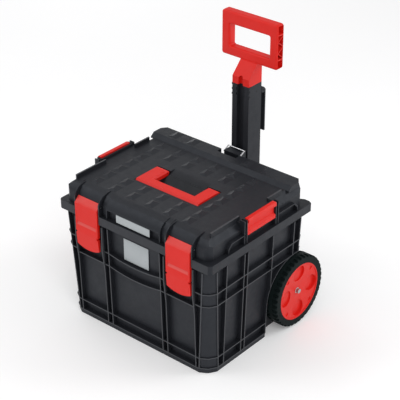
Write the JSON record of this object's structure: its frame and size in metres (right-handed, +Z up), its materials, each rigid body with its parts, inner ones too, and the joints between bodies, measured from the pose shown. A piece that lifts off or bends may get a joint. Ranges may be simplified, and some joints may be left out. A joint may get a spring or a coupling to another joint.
{
  "type": "rolling toolbox",
  "caption": "Ribbed plastic tool bin on wheels with a latched lid, folding carry handle, side clips and a sliding pull handle on a rear column.",
  "frame": {"origin": "on the floor, under the middle of the lid's rim", "axes": "+X to the right along the front, +Y to the back where the column is, +Z up"},
  "size_m": [0.474, 0.451, 0.676],
  "materials": {
    "black_plastic": "fine-grained moulded plastic",
    "red_plastic": "satin moulded plastic",
    "steel": "plain zinc-plated",
    "wire": "bright drawn wire",
    "tyre": "matte rubber-like plastic",
    "bush": "plain",
    "seal": "soft matte",
    "blank_plate": "smooth blank film"
  },
  "bodies": {
    "bin": {"bin_shell": "black_plastic", "bin_label": "blank_plate", "hinge_pins": "steel", "handle_guide": "black_plastic", "guide_screws": "steel", "axle": "steel", "axle_spacers": "black_plastic", "axle_caps": "steel", "bail_block": "black_plastic"},
    "lid": {"lid_shell": "black_plastic", "lid_seal": "seal", "lid_badge": "blank_plate", "latch_pins": "steel", "handle_pins": "steel", "clip_pins": "steel"},
    "latch_left": {"latch_left": "red_plastic"},
    "latch_right": {"latch_right": "red_plastic"},
    "lid_handle": {"lid_handle": "red_plastic"},
    "side_clip_left": {"side_clip_left": "red_plastic"},
    "side_clip_right": {"side_clip_right": "red_plastic"},
    "wheel_left": {"wheel_tyre_left": "tyre", "wheel_hub_left": "red_plastic", "wheel_bush_left": "bush"},
    "wheel_right": {"wheel_tyre_right": "tyre", "wheel_hub_right": "red_plastic", "wheel_bush_right": "bush"},
    "column": {"column_tube": "black_plastic", "column_foot": "black_plastic", "grip": "red_plastic", "grip_pin": "steel", "lever_bracket": "black_plastic", "lever_pin": "steel"},
    "rear_lever": {"rear_lever": "black_plastic"},
    "lock_bail": {"lock_bail": "wire"}
  },
  "joints": [
    {"name": "lid_hinge", "type": "hinge", "parent": "bin", "child": "lid", "pos_m": [0, 0.178, 0.341], "axis": [-1, 0, 0], "range_deg": [0, 90]},
    {"name": "latch_left_swing", "type": "hinge", "parent": "lid", "child": "latch_left", "pos_m": [-0.136, -0.1685, 0.3205], "axis": [-1, 0, 0], "range_deg": [0, 100]},
    {"name": "latch_right_swing", "type": "hinge", "parent": "lid", "child": "latch_right", "pos_m": [0.136, -0.1685, 0.3205], "axis": [-1, 0, 0], "range_deg": [0, 100]},
    {"name": "lid_handle_fold", "type": "hinge", "parent": "lid", "child": "lid_handle", "pos_m": [0, 0.0105, 0.346], "axis": [1, 0, 0], "range_deg": [-90, 0]},
    {"name": "side_clip_left_swing", "type": "hinge", "parent": "lid", "child": "side_clip_left", "pos_m": [-0.2175, 0.002, 0.3224], "axis": [0, -1, 0], "range_deg": [0, 40]},
    {"name": "side_clip_right_swing", "type": "hinge", "parent": "lid", "child": "side_clip_right", "pos_m": [0.2175, 0.002, 0.3224], "axis": [0, 1, 0], "range_deg": [0, 40]},
    {"name": "wheel_left_spin", "type": "hinge", "parent": "bin", "child": "wheel_left", "pos_m": [-0.2195, 0.133, 0.089], "axis": [1, 0, 0], "continuous": true},
    {"name": "wheel_right_spin", "type": "hinge", "parent": "bin", "child": "wheel_right", "pos_m": [0.2195, 0.133, 0.089], "axis": [1, 0, 0], "continuous": true},
    {"name": "column_slide", "type": "slide", "parent": "bin", "child": "column", "axis": [0, 0, 1], "range_m": [-0.17, 0]},
    {"name": "rear_lever_swing", "type": "hinge", "parent": "column", "child": "rear_lever", "pos_m": [0, 0.2625, 0.49], "axis": [1, 0, 0], "range_deg": [0, 25]},
    {"name": "lock_bail_swing", "type": "hinge", "parent": "bin", "child": "lock_bail", "pos_m": [0, 0.172, 0.353], "axis": [-1, 0, 0], "range_deg": [-60, 0]}
  ]
}
